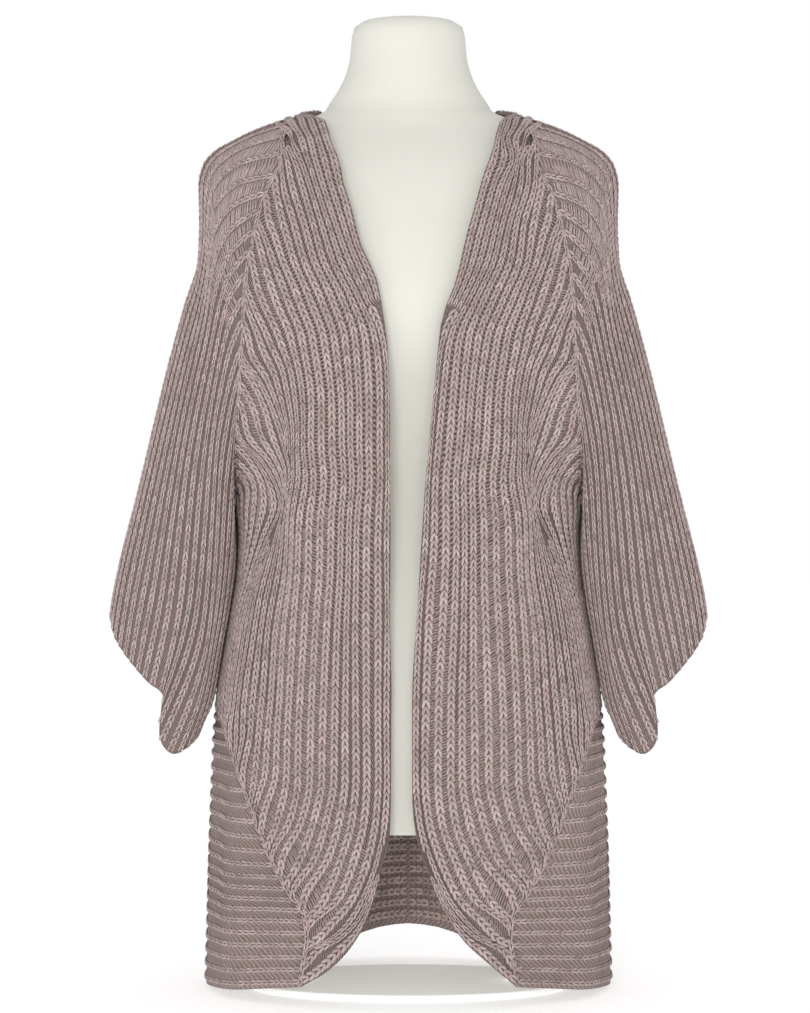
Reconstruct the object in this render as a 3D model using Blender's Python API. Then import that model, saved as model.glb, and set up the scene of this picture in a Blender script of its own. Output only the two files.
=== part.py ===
"""A ribbed knit cape with wide sleeves, worn on a limbless dress form with a plain stand.

Metres, +Z up, the open front towards -Y. The wearer's left is +X. The five knitted panels are one
worn surface, cut at its seams: two fronts and a back that run round the body, and two sleeves. A
point of the body has a turn, in degrees from the centre front, and a height. Ribs run down the
fronts and sleeves and across the back, and they meet in mitres at the seams.
"""

import math

import bmesh
import bpy
import numpy as np

MM = 0.001

# The knit
WALL = 3.2 * MM  # from the middle of the ribs' relief to the plain inside
RIB_RISE = 1.1 * MM  # a crest above, and a groove below, the middle of the relief
SEAM_SHIFT = 0.25 * MM  # each panel stops this far short of the seam
FRONT_RIBS = 22  # in one front, which are also the ribs that turn the mitre into the back
NECK_RIBS = 4  # of those, the ones that cross the shoulder beside the neck
ARMHOLE_RIBS = 18  # in half of a sleeve, which meet the front's other ribs at the raglan
FRONT_ROWS = 16
BACK_ROWS = 18
WIDE_RIBS = 6  # the back's top ribs at the raglan, each as wide there as a rib of the sleeve
UNDERARM_RIB = 12  # sleeve ribs from the shoulder line, past which the armhole turns under
UNDERARM_BEND = 1.5  # how late between that rib and the underarm it turns under
SLEEVE_START = 6  # how soon a sleeve's ribs leave the armhole for their drawn lines
SLEEVE_END = 4  # how late they turn in to the cuff
LINE_STEPS = 400  # close places along a drawn rib
LINE_BUNCH = 1.5  # how much closer they lie where the rib crosses the shoulder
EDGE_EASE = 0.7  # how much closer the rows lie where the front edge turns, at its ends
START_REACH = (  # by rib of a front, the height in which it leaves the raglan
    (4, 12, 18, 22), (12 * MM, 60 * MM, 60 * MM, 12 * MM)
)
END_REACH = 60 * MM  # height over which a rib turns in to its place on the mitre
HEM_REACH = 200 * MM  # height above the hem at which the ribs no longer follow its line
STRIP_BELOW = 34 * MM  # width of the neck strip at the centre back
BACK_NECK = 824 * MM  # height of the neck edge at the centre back
SLEEVE_BACK_DEPTH = (1.08, 0.9)  # of a sleeve's back half, for its front half, top and cuff
SLEEVE_ROWS = (0.0, 0.05, 0.1, 0.15, 0.2, 0.26, 0.36, 0.5, 0.68, 0.86, 1.0)

# Sections of the body, mm: the oval's half width, and its depth in front and behind.
BODY_COLUMNS = ("height", "half_width", "front", "back")
BODY = (
    (0, 193, 128, 158),
    (60, 191, 128, 157),
    (158, 188, 127, 154),
    (240, 185, 126, 150),
    (288, 173, 127, 146),
    (318, 166, 128, 143),
    (358, 157, 130, 140),
    (398, 148, 131, 137),
    (428, 145, 132, 135),
    (452, 161.3, 133, 134),
    (464, 162, 133, 134),
    (477, 166, 134, 133),
    (507, 182, 135, 132),
    (551, 198.5, 134, 130),
    (578, 208, 133, 130),
    (600, 213, 132, 130),
    (628, 214, 131, 130),
    (670, 205, 129, 129),
    (708, 197, 124, 128),
    (740, 195.5, 117, 124),
    (770, 195, 108, 119),
    (786, 187, 99, 112),
    (803, 160, 86, 100),
    (822, 114.5, 66, 76),
    (831.7, 83.5, 54, 62),
)

# Ribs of a front, from the neck or the raglan down: turn in degrees, height in mm.
EDGE_RIGHT = (
    (90, 831.7), (34, 813), (23, 790), (19, 770), (18, 751), (16, 732), (13, 695), (8, 659),
    (6, 623), (5, 587), (5, 551), (6, 461), (6, 371), (5, 281), (5, 191), (5.5, 151), (7.5, 128),
    (11, 87), (16, 57), (23, 34), (31, 19),
)
EDGE_LEFT = (
    (90, 831.7), (38, 813), (26, 791), (22, 770), (20, 751), (18.5, 733), (15, 695), (12, 659),
    (8, 623), (7, 587), (6.4, 551), (5, 461), (3, 371), (1, 281), (1, 191), (2, 159), (4.5, 134),
    (9, 95), (15, 64), (23, 40), (31, 19),
)
INNER_RIBS = {
    4: (
        (90, 822), (74, 820), (60, 816.5), (46, 809), (36, 797), (31, 775), (28, 734),
        (26.5, 696), (22, 659), (18.5, 623), (17, 587), (16.5, 551), (18, 461), (19, 371),
        (17, 281), (16, 190), (18, 145), (22, 104), (29, 63),
    ),
    6: (
        (47, 804), (38.5, 790), (33.7, 770), (32.5, 734), (31, 696), (26, 659), (22.7, 623),
        (21.3, 588), (21, 551), (24.5, 461), (25.5, 371), (23, 281), (21.5, 190), (23, 150),
        (26, 115), (30, 84),
    ),
    8: (
        (37, 768), (36.7, 752), (37, 734), (35, 696), (30, 660), (27, 624), (25.7, 588),
        (26, 551), (31.3, 461), (32.3, 371), (29, 281), (27.5, 215), (29, 160), (35, 103),
    ),
    10: (
        (43, 735), (39, 698), (34, 661), (31, 624), (30, 588), (31, 551), (38, 461), (39, 370),
        (35, 279), (34, 225), (35, 170), (40, 123),
    ),
    15: (
        (45, 637), (42.5, 607), (41.5, 570), (43, 534), (50, 461), (54.5, 369), (51, 296),
        (49, 232), (52, 187),
    ),
    19: ((53, 545), (52, 525), (53, 498), (57, 465), (65, 420), (71, 368), (70, 312), (66, 246)),
    22: ((90, 452), (90, 406), (90, 360), (90, 314), (90, 272)),
}
# Where the ribs of a front turn into ribs of the back, by rib from the edge.
SEAM_COLUMNS = ("rib", "turn", "height")
MITRE = (
    (0, 31, 19), (2, 30, 41), (4, 29, 63), (6, 30, 84), (8, 35, 103), (10, 40, 123),
    (12, 45, 147), (15, 52, 187), (18, 62, 228), (20, 72, 251), (22, 90, 272),
)
# The back's hem from the front corner round to the centre back: turn in degrees, height in mm.
HEM = (
    (31, 19), (60, 9), (90, 4), (120, 6), (145, 11), (160, 20), (170, 30), (176, 33), (180, 34),
)
# The front raglan, by ribs of the sleeve from the shoulder line down to the underarm.
RAGLAN = (
    (0, 90, 822), (1, 63, 813), (2, 47, 804), (3, 40, 789), (4, 37, 768), (5, 41, 750),
    (6, 43, 735), (7, 45, 718), (8, 46, 699), (9, 46.5, 680), (10, 46, 658), (11, 45, 637),
    (12, 45, 615), (13, 46.3, 592), (14, 49, 569), (15, 53, 545), (16, 59, 518), (17, 71, 485),
    (18, 90, 452),
)

# Ribs of a sleeve's front half, from the underarm fold (0) to the outer fold (18): how far out
# and forward each place is, and its height, mm.
SLEEVE_RIBS = {
    0: (
        (161, 0, 452), (167, 2, 440), (168, 3, 425), (168, 4, 404), (168, 6, 366), (172, 8, 329),
        (178, 12, 291),
        (185, 16, 268), (194, 18, 252), (199, 20, 238),
    ),
    2: (
        (160, 69, 518), (163, 63, 501), (167, 50, 470), (169, 42, 433), (170, 36, 386),
        (173, 33, 349), (178, 32, 311), (186, 34, 274), (197, 36, 246), (204, 36, 231),
    ),
    5: (
        (153, 90, 592), (159, 86, 574), (165, 81, 552), (175, 70, 498), (178, 64, 461),
        (181, 57, 415), (185, 52, 368), (190, 50, 331), (200, 50, 294), (213, 50, 261),
        (227, 48, 230),
    ),
    10: (
        (143, 87, 699), (155, 84, 688), (166, 78, 674), (176, 71, 645), (186, 64, 600),
        (197, 58, 554), (208, 54, 498), (216, 52, 442), (226, 49, 368), (243, 46, 291),
    ),
    14: (
        (118, 87, 768), (136, 80, 766), (154, 70, 763), (169, 58, 755), (181, 45, 741),
        (186, 40, 718), (188, 38, 685), (195, 37, 648), (210, 37, 592), (236, 37, 480),
        (260, 36, 368), (268, 34, 319),
    ),
    18: (
        (114, 0, 822), (139, 0, 813), (160, 0, 803), (179, 0, 793), (191, 0, 780), (196, 0, 760),
        (196, 0, 732), (198, 0, 689), (210, 0, 651), (226, 0, 594), (254, 0, 480), (282, 0, 366),
        (284, 0, 350),
    ),
}
# The cuff by the same ribs, and how far back its other half lies, mm.
CUFF_COLUMNS = ("rib", "out", "forward", "behind", "height")
CUFF = (
    (0, 199, 20, -20, 238), (1, 201, 28, -8, 234), (2, 204, 36, 6, 231), (3, 210, 42, 18, 227),
    (4, 218, 46, 28, 224), (5, 227, 49, 36, 230), (6, 232, 51, 42, 244), (7, 231, 51, 45, 262),
    (8, 229, 49, 46, 278), (10, 243, 46, 45, 291), (12, 256, 42, 41, 305), (14, 268, 34, 33, 319),
    (16, 278, 22, 21, 334), (18, 284, 0, 0, 350),
)

# Soft folds of the body: turn and height of each, how far it reaches in either, and its rise.
FOLDS = (
    (58, 90, 9, 120, 5),
    (44, 60, 7, 80, -4),
    (74, 140, 8, 110, -5),
    (24, 330, 6, 150, 3),
    (47, 390, 7, 90, -5),
    (38, 420, 6, 110, 4),
    (104, 120, 9, 130, 6),
    (121, 90, 8, 110, -5),
    (140, 130, 10, 150, 6),
    (160, 110, 9, 130, -5),
    (129, 420, 9, 110, 5),
    (146, 470, 8, 120, -4),
)

# Sections of the dress form, mm: height, half width, depth in front and behind.
FORM = (
    (156, 160, 103, 120),
    (220, 160, 105, 125),
    (280, 154, 107, 125),
    (350, 141, 104, 108),
    (420, 128, 95, 90),
    (480, 124, 90, 82),
    (540, 130, 96, 84),
    (600, 142, 110, 92),
    (645, 154, 116, 100),
    (690, 162, 110, 106),
    (735, 175, 96, 104),
    (765, 180, 84, 98),
    (780, 176, 76, 91),
    (796, 158, 65, 80),
    (811, 124, 56, 68),
    (822, 96, 52, 61),
    (829, 80, 50, 58),
    (837, 75, 49, 56),
    (848, 67.5, 49, 54),
    (862, 60.5, 49, 52),
    (880, 55.5, 49, 51),
    (898, 54, 49, 50),
    (908, 52, 47, 48),
    (913, 46, 41, 42),
    (915, 36, 32, 33),
)
FORM_SIDES = 24

# The stand
POST_X = 100 * MM
POST_RADIUS = 8 * MM
BASE_HALF = (150 * MM, 80 * MM)
BASE_THICK = 6 * MM
BASE_SIDES = 40
POST_SIDES = 20
SEAT_GAP = 0.3 * MM
SHARP_TURN = math.radians(50)  # between faces, past which their edge stays sharp

WOOL = ((0.42, 0.32, 0.30), 0.95, 0.0)  # colour, roughness, metallic
WOOL_SLEEVE = ((0.40, 0.30, 0.285), 0.95, 0.0)
CREAM = ((0.82, 0.83, 0.76), 0.45, 0.0)


def clear_scene():
    for old in list(bpy.data.objects):
        bpy.data.objects.remove(old, do_unlink=True)


def new_material(name, finish):
    colour, roughness, metallic = finish
    material = bpy.data.materials.new(name)
    material.use_nodes = True
    shader = material.node_tree.nodes["Principled BSDF"]
    shader.inputs["Base Color"].default_value = (*colour, 1.0)
    shader.inputs["Roughness"].default_value = roughness
    shader.inputs["Metallic"].default_value = metallic
    return material


def curve_at(knots, values, at, limited=False):
    """A smooth curve through the values at the knots. A limited one never overshoots a value."""
    knots, values, at = np.asarray(knots, float), np.asarray(values, float), np.asarray(at, float)
    steps = np.diff(knots)[:, None]
    secants = np.diff(values, axis=0) / steps
    before, after = secants[:-1], secants[1:]
    slopes = np.concatenate([secants[:1], secants[:1].repeat(len(knots) - 2, axis=0), secants[-1:]])
    if limited:
        product = before * after
        total = np.where(product > 0, before + after, 1.0)
        slopes[1:-1] = np.where(product > 0, 2 * product / total, 0.0)
    else:
        share = steps[1:] / (steps[:-1] + steps[1:])
        slopes[1:-1] = before * share + after * (1 - share)
    first = np.clip(np.searchsorted(knots, at, side="right") - 1, 0, len(knots) - 2)
    step = (knots[first + 1] - knots[first])[:, None]
    t = ((at - knots[first]) / (knots[first + 1] - knots[first]))[:, None]
    return (
        values[first] * (1 + 2 * t) * (1 - t) ** 2
        + values[first + 1] * t**2 * (3 - 2 * t)
        + slopes[first] * step * t * (1 - t) ** 2
        - slopes[first + 1] * step * t**2 * (1 - t)
    )


def picked(table, columns, *wanted):
    """The wanted columns of a table, side by side."""
    return np.array(table, float)[:, [columns.index(name) for name in wanted]]


def body_sections(heights):
    """Half width, front depth and back depth of the body's oval at each height."""
    knots = picked(BODY, BODY_COLUMNS, "height")[:, 0] * MM
    sections = picked(BODY, BODY_COLUMNS, "half_width", "front", "back") * MM
    return curve_at(knots, sections, np.ravel(heights), limited=True).T


def fold_rise(turns, heights):
    rise = np.zeros_like(turns)
    for turn, height, turn_reach, height_reach, rise_mm in FOLDS:
        across = (np.degrees(np.abs(turns)) - turn) / turn_reach
        along = (heights - height * MM) / (height_reach * MM)
        rise += rise_mm * MM * np.exp(-(across**2) - along**2)
    return rise


def body_surface(turns, heights):
    """Points of the worn surface, and its outward normals. Turns are radians, left positive."""
    shape = np.shape(turns)
    turns, heights = np.ravel(turns), np.ravel(heights)
    width, front, back = body_sections(heights)
    above, below = body_sections(heights + MM), body_sections(heights - MM)
    width_slope, front_slope, back_slope = (above - below) / (2 * MM)
    sine, cosine = np.sin(turns), np.cos(turns)
    facing = cosine > 0
    depth = np.where(facing, front, back)
    depth_slope = np.where(facing, front_slope, back_slope)
    points = np.stack([width * sine, -depth * cosine, heights], axis=1)
    normals = np.stack(
        [
            depth * sine,
            -width * cosine,
            -(width * depth_slope * cosine**2 + depth * width_slope * sine**2),
        ],
        axis=1,
    )
    normals /= np.linalg.norm(normals, axis=1, keepdims=True)
    points += normals * fold_rise(turns, heights)[:, None]
    return points.reshape(*shape, 3), normals.reshape(*shape, 3)


def even_places(places, shares):
    """Turn and height at shares of the length of a line through close places on the body."""
    points = body_surface(places[:, 0], places[:, 1])[0]
    lengths = np.concatenate([[0], np.cumsum(np.linalg.norm(np.diff(points, axis=0), axis=1))])
    shares_at = lengths / lengths[-1]
    return np.stack([np.interp(shares, shares_at, column) for column in places.T], axis=1)


def even_path(points, shares):
    """Points at shares of the length of a smooth path through the given points."""
    points = np.array(points, float)
    knots = np.concatenate([[0], np.cumsum(np.linalg.norm(np.diff(points, axis=0), axis=1))])
    return curve_at(knots / knots[-1], points, shares, limited=True)


def places_by_rib(table, ribs):
    """Turn and height at each rib of a line that crosses the ribs."""
    knots = picked(table, SEAM_COLUMNS, "rib")[:, 0]
    places = curve_at(knots, picked(table, SEAM_COLUMNS, "turn", "height"), ribs, limited=True)
    return np.stack([np.radians(places[:, 0]), places[:, 1] * MM], axis=1)


def shoulder_places(ribs):
    """Turn and height on the shoulder line for ribs counted out from the neck edge."""
    share = np.asarray(ribs, float) / NECK_RIBS
    heights = (EDGE_LEFT[0][1] + (RAGLAN[0][2] - EDGE_LEFT[0][1]) * share) * MM
    return np.stack([np.full_like(heights, math.pi / 2), heights], axis=1)


def with_seams(rows):
    """A drawn rib, lengthened along the raglan above it and along the mitre below it."""
    above = [place[1:] for place in RAGLAN if place[2] > rows[0][1]]
    below = [place[1:] for place in MITRE[::-1] if place[2] < rows[-1][1]]
    return np.array([*above, *rows, *below], float)[::-1]


def rib_line(rib, drawn, start, end):
    """Close places down one rib of a front, between the drawn ribs on either side of it."""
    heights = start[1] + (end[1] - start[1]) * np.linspace(0, 1, LINE_STEPS) ** LINE_BUNCH
    turns = []
    for rows in drawn.values():
        line = with_seams(rows)
        at = np.clip(heights / MM, line[0, 1], line[-1, 1])
        turns.append(curve_at(line[:, 1], line[:, :1], at, limited=True)[:, 0])
    turns = np.radians(curve_at(list(drawn), turns, [rib])[0])
    start_reach = np.interp(rib, *START_REACH)
    from_start = np.clip(1 - (start[1] - heights) / start_reach, 0, 1) ** 2
    from_end = np.clip(1 - (heights - end[1]) / END_REACH, 0, 1) ** 2
    turns += from_start * (start[0] - turns[0])
    turns += from_end * (end[0] - turns[-1])
    return np.stack([turns, heights], axis=1)


def front_places(edge):
    """Turn and height of a front's grid: rows down the ribs, two columns a rib."""
    ribs = np.arange(0, FRONT_RIBS + 0.25, 0.5)
    drawn = {0: edge, **INNER_RIBS}
    starts = np.concatenate(
        [
            shoulder_places(ribs[: 2 * NECK_RIBS]),
            places_by_rib(RAGLAN, ribs[2 * NECK_RIBS :] - NECK_RIBS),
        ]
    )
    ends = places_by_rib(MITRE, ribs)
    rows = np.linspace(0, 1, FRONT_ROWS + 1)
    columns = []
    for rib, start, end in zip(ribs, starts, ends):
        ease = EDGE_EASE * (1 - rib / FRONT_RIBS)
        shares = rows - ease * np.sin(2 * math.pi * rows) / (2 * math.pi)
        columns.append(even_places(rib_line(rib, drawn, start, end), shares))
    return np.array(columns).swapaxes(0, 1)


def underarm_normals(normals, ribs):
    """Turns the raglan's normals down towards the underarm, where the cloth faces the floor."""
    share = (np.asarray(ribs, float) - UNDERARM_RIB) / (ARMHOLE_RIBS - UNDERARM_RIB)
    share = np.clip(share, 0, 1)[:, None] ** UNDERARM_BEND
    turned = normals * (1 - share) + np.array([0, 0, -1.0]) * share
    return turned / np.linalg.norm(turned, axis=1, keepdims=True)


def zip_rows(first, second, first_at, second_at):
    """Faces between two rows of points, each point with its place along the row. A row and its
    reverse give the same faces, so two panels match along their seam."""
    middles = [(a + b) / 2 for a, b in zip(first_at, first_at[1:])]
    other_middles = [(a + b) / 2 for a, b in zip(second_at, second_at[1:])]
    steps = sorted([(m, 0) for m in middles] + [(m, 1) for m in other_middles])
    faces, i, j = [], 0, 0
    for _, on_second in steps:
        if on_second:
            faces.append((first[i], second[j + 1], second[j]))
            j += 1
        else:
            faces.append((first[i], first[i + 1], second[j]))
            i += 1
    return faces


def knit_shell(name, points, normals, faded, kept, collection, material, closed=False):
    """A ribbed wall over a grid of rows by half ribs. Faded marks its seam points, and kept the
    columns of its plain inside."""
    rows, columns = points.shape[:2]
    relief = np.where(np.arange(columns) % 2, RIB_RISE, -RIB_RISE)
    relief = np.where(faded, 0.0, relief[None, :])
    outer = points + normals * relief[..., None]
    inner = (points - normals * WALL)[:, kept]
    vertices = np.concatenate([outer.reshape(-1, 3), inner.reshape(-1, 3)])
    outer_at = np.arange(rows * columns).reshape(rows, columns)
    inner_at = rows * columns + np.arange(rows * inner.shape[1]).reshape(rows, -1)
    faces = []
    for at in (outer_at, inner_at):
        for row in range(rows - 1):
            pairs = [(c, c + 1) for c in range(at.shape[1] - 1)]
            pairs += [(at.shape[1] - 1, 0)] if closed else []
            faces += [(at[row, a], at[row, b], at[row + 1, b], at[row + 1, a]) for a, b in pairs]
    for row in (0, rows - 1):
        first, second = list(outer_at[row]), list(inner_at[row])
        first_at, second_at = list(range(columns)), list(kept)
        if closed:
            first, second = first + first[:1], second + second[:1]
            first_at, second_at = first_at + [columns], second_at + [columns]
        faces += zip_rows(first, second, first_at, second_at)
    if not closed:
        for column in (0, -1):
            for row in range(rows - 1):
                faces.append(
                    (
                        outer_at[row, column],
                        outer_at[row + 1, column],
                        inner_at[row + 1, column],
                        inner_at[row, column],
                    )
                )
    return add_mesh(name, vertices, faces, collection, material)


def add_mesh(name, vertices, faces, collection, material):
    mesh = bpy.data.meshes.new(name)
    mesh.from_pydata([tuple(v) for v in vertices], [], [tuple(map(int, f)) for f in faces])
    work = bmesh.new()
    work.from_mesh(mesh)
    bmesh.ops.recalc_face_normals(work, faces=work.faces)
    work.to_mesh(mesh)
    work.free()
    mesh.materials.append(material)
    mesh.shade_smooth()
    mesh.set_sharp_from_angle(angle=SHARP_TURN)
    made = bpy.data.objects.new(name, mesh)
    collection.objects.link(made)
    return made


def step_back(points, normals, row, inward):
    """Moves a seam row of a grid the seam's clearance into its own panel, square to the seam."""
    side = np.cross(np.gradient(points[row], axis=0), normals[row])
    side /= np.linalg.norm(side, axis=-1, keepdims=True)
    toward = np.sign((side * (points[inward] - points[row])).sum())
    points[row] += SEAM_SHIFT * toward * side


def mirrored(points, side):
    return points * np.array([side, 1, 1])


def make_front(name, side, edge, collection, material):
    places = front_places(edge)
    points, normals = body_surface(places[..., 0], places[..., 1])
    armhole = slice(2 * NECK_RIBS, None)
    ribs = np.arange(0, ARMHOLE_RIBS + 0.25, 0.5)
    normals[0, armhole] = underarm_normals(normals[0, armhole], ribs)
    step_back(points, normals, 0, 1)
    step_back(points, normals, -1, -2)
    step_back(points.swapaxes(0, 1), normals.swapaxes(0, 1), -1, -2)
    faded = np.zeros(points.shape[:2], bool)
    faded[[0, -1]] = True
    faded[:, -1] = True
    return knit_shell(
        name,
        mirrored(points, side),
        mirrored(normals, side),
        faded,
        np.arange(0, points.shape[1], 2),
        collection,
        material,
    )


def back_ends():
    """Turn and height of the back's side edge, from the hem to the neck, two places a rib."""
    halves = np.arange(0, 2 * FRONT_RIBS + 1) / 2
    lower = places_by_rib(MITRE, halves)
    side_places = front_places(EDGE_LEFT)[::-1, -1]
    upper = places_by_rib(RAGLAN, between_places(back_raglan_ribs()[:, None])[:, 0])
    upper[:, 0] = math.pi - upper[:, 0]
    neck = shoulder_places(np.arange(2 * NECK_RIBS, -1, -1) / 2)
    return np.concatenate([lower, between_places(side_places)[1:], upper[1:], neck[1:]])


def back_raglan_ribs():
    """Where the back's ribs meet the raglan, in sleeve ribs from the shoulder, underarm first."""
    narrow = np.arange(2 * ARMHOLE_RIBS, 2 * WIDE_RIBS, -1) / 2
    return np.concatenate([narrow, np.arange(WIDE_RIBS, -1, -1)])


def between_places(line):
    """The line with the middle of each of its steps added."""
    doubled = np.empty((2 * len(line) - 1, line.shape[1]))
    doubled[::2] = line
    doubled[1::2] = (line[1:] + line[:-1]) / 2
    return doubled


def back_places(ends):
    """Turn and height of the back's grid: each row of places crosses the back between its ends."""
    strip = 2 * NECK_RIBS
    hem = np.array(HEM, float)
    centre = np.concatenate(
        [
            np.linspace(hem[-1, 1] * MM, BACK_NECK - STRIP_BELOW, len(ends) - strip),
            np.linspace(BACK_NECK - STRIP_BELOW, BACK_NECK, strip + 1)[1:],
        ]
    )
    across = np.linspace(-1, 1, BACK_ROWS + 1)[:, None]
    turns = math.pi + across * (math.pi - ends[:, 0])
    rise = 1 - (1 - across**2) ** 3
    heights = centre + (ends[:, 1] - centre) * rise
    from_front = np.degrees(math.pi - np.abs(math.pi - turns))
    hem_line = curve_at(hem[:, 0], hem[:, 1:], from_front.ravel(), True).reshape(turns.shape) * MM
    low = np.clip(1 - (heights - heights[:, :1]) / HEM_REACH, 0, 1) ** 2
    heights = heights + (hem_line - heights[:, :1]) * low
    return np.where(turns > math.pi, turns - 2 * math.pi, turns), heights


def back_inside_columns(first_raglan, last_narrow, count):
    """Columns of the back's plain inside: closer at the armpit and the shoulder, where it bends."""
    armpit, raglan_top = first_raglan - 2 * NECK_RIBS, count - 2 * NECK_RIBS
    return np.concatenate(
        [
            np.arange(0, armpit, 4),
            np.arange(armpit, first_raglan, 2),
            np.arange(first_raglan, last_narrow, 4),
            np.arange(last_narrow, raglan_top, 2),
            np.arange(raglan_top + 3, count, 4),
        ]
    )


def make_back(collection, material):
    ends = back_ends()
    points, normals = body_surface(*back_places(ends))
    first_raglan = 2 * (FRONT_RIBS + FRONT_ROWS)
    ribs = between_places(back_raglan_ribs()[:, None])[:, 0]
    raglan = slice(first_raglan, first_raglan + len(ribs))
    last_narrow = first_raglan + 4 * (ARMHOLE_RIBS - WIDE_RIBS)
    for row in (0, -1):
        normals[row, raglan] = underarm_normals(normals[row, raglan], ribs)
        middles = np.arange(first_raglan + 1, last_narrow, 2)
        for values in (points, normals):
            values[row, middles] = (values[row, middles - 1] + values[row, middles + 1]) / 2
    step_back(points, normals, 0, 1)
    step_back(points, normals, -1, -2)
    faded = np.zeros(points.shape[:2], bool)
    faded[[0, -1]] = True
    kept = back_inside_columns(first_raglan, last_narrow, len(ends))
    return knit_shell("back", points, normals, faded, kept, collection, material)


def sleeve_grid():
    """Points of a left sleeve: rows from the armhole to the cuff, two columns a rib, closed."""
    shares = np.array(SLEEVE_ROWS)
    drawn = {rib: even_path(rows, shares) for rib, rows in SLEEVE_RIBS.items()}
    outward = np.array([1, -1, 1]) * MM
    behind = np.ones((len(shares), 3)) * MM
    behind[:, 1] *= np.interp(shares, (0.1, 0.5), SLEEVE_BACK_DEPTH)
    round_ribs = 2 * ARMHOLE_RIBS
    knots, across = [], []
    for rib in sorted(drawn):
        knots.append(rib)
        across.append(drawn[rib] * outward)
    for rib in sorted(drawn, reverse=True)[1:]:
        knots.append(round_ribs - rib)
        across.append(drawn[rib] * behind)
    across[-1] = across[0]
    knots = [knots[-2] - round_ribs, *knots, round_ribs + knots[1]]
    across = np.array([across[-2], *across, across[1]])
    ribs = np.arange(0, round_ribs, 0.5)
    grid = np.stack([curve_at(knots, across[:, row], ribs) for row in range(len(shares))])
    down = shares[:, None, None]
    start, end = armhole_loop(ribs)[0], cuff_loop(ribs)
    from_armhole = (1 - down) ** SLEEVE_START * (start - grid[0])
    return grid + from_armhole + down**SLEEVE_END * (end - grid[-1])


def armhole_loop(ribs):
    """Points and normals round the left armhole, from the underarm up the front."""
    from_shoulder = np.abs(ARMHOLE_RIBS - ribs)
    places = places_by_rib(RAGLAN, from_shoulder)
    turns = np.where(ribs <= ARMHOLE_RIBS, places[:, 0], math.pi - places[:, 0])
    points, normals = body_surface(turns, places[:, 1])
    return points, underarm_normals(normals, from_shoulder)


def cuff_loop(ribs):
    knots = picked(CUFF, CUFF_COLUMNS, "rib")[:, 0]
    places = picked(CUFF, CUFF_COLUMNS, "out", "forward", "behind", "height")
    other_half = ribs > ARMHOLE_RIBS
    from_fold = np.where(other_half, 2 * ARMHOLE_RIBS - ribs, ribs)
    out, forward, behind, height = curve_at(knots, places, from_fold, limited=True).T * MM
    return np.stack([out, np.where(other_half, behind, -forward), height], axis=1)


def grid_normals(points):
    """Outward normals of a closed grid of rows from top to bottom."""
    across = np.roll(points, -1, axis=1) - np.roll(points, 1, axis=1)
    down = np.gradient(points, axis=0)
    normals = np.cross(across, down)
    normals /= np.linalg.norm(normals, axis=2, keepdims=True)
    outward = points - points.mean(axis=1, keepdims=True)
    return normals * np.sign((normals * outward).sum())


def make_sleeve(name, side, collection, material):
    points = sleeve_grid()
    normals = grid_normals(points)
    ribs = np.arange(0, 2 * ARMHOLE_RIBS, 0.5)
    normals[0] = armhole_loop(ribs)[1]
    step_back(points, normals, 0, 1)
    faded = np.zeros(points.shape[:2], bool)
    faded[0] = True
    return knit_shell(
        name,
        mirrored(points, side),
        mirrored(normals, side),
        faded,
        np.arange(0, points.shape[1], 2),
        collection,
        material,
        closed=True,
    )


def make_form(collection, material):
    rows = np.array(FORM, float) * MM
    turns = np.arange(FORM_SIDES) * 2 * math.pi / FORM_SIDES
    vertices, faces = [], []
    for height, width, front, back in rows:
        for turn in turns:
            depth = front if math.cos(turn) > 0 else back
            vertices.append((width * math.sin(turn), -depth * math.cos(turn), height))
    for row in range(len(rows) - 1):
        for side in range(FORM_SIDES):
            after = (side + 1) % FORM_SIDES
            low, high = row * FORM_SIDES, (row + 1) * FORM_SIDES
            faces.append((low + side, low + after, high + after, high + side))
    faces.append(range(FORM_SIDES))
    faces.append(range((len(rows) - 1) * FORM_SIDES, len(rows) * FORM_SIDES))
    return add_mesh("dress_form", vertices, faces, collection, material)


def make_stand(collection, material):
    bpy.ops.mesh.primitive_cylinder_add(
        vertices=BASE_SIDES, radius=1, depth=BASE_THICK, location=(0, 0, BASE_THICK / 2)
    )
    base = bpy.context.object
    base.name = base.data.name = "base"
    base.data.transform(
        ((BASE_HALF[0], 0, 0, 0), (0, BASE_HALF[1], 0, 0), (0, 0, 1, 0), (0, 0, 0, 1))
    )
    made = [base]
    low, high = BASE_THICK + SEAT_GAP, FORM[0][0] * MM - SEAT_GAP
    for name, side in (("post_left", 1), ("post_right", -1)):
        bpy.ops.mesh.primitive_cylinder_add(
            vertices=POST_SIDES,
            radius=POST_RADIUS,
            depth=high - low,
            location=(side * POST_X, 0, (low + high) / 2),
        )
        post = bpy.context.object
        post.name = post.data.name = name
        made.append(post)
    for piece in made:
        piece.data.materials.append(material)
        piece.data.shade_smooth()
        piece.data.set_sharp_from_angle(angle=SHARP_TURN)
        for holder in list(piece.users_collection):
            holder.objects.unlink(piece)
        collection.objects.link(piece)


def main():
    clear_scene()
    collection = bpy.data.collections.new("knit_cape_on_form")
    bpy.context.scene.collection.children.link(collection)
    body_wool = new_material("body_wool", WOOL)
    sleeve_wool = new_material("sleeve_wool", WOOL_SLEEVE)
    cream = new_material("cream_form", CREAM)
    make_front("front_left", 1, EDGE_LEFT, collection, body_wool)
    make_front("front_right", -1, EDGE_RIGHT, collection, body_wool)
    make_back(collection, body_wool)
    make_sleeve("sleeve_left", 1, collection, sleeve_wool)
    make_sleeve("sleeve_right", -1, collection, sleeve_wool)
    make_form(collection, cream)
    make_stand(collection, cream)


main()
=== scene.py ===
import functools
import math

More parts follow.
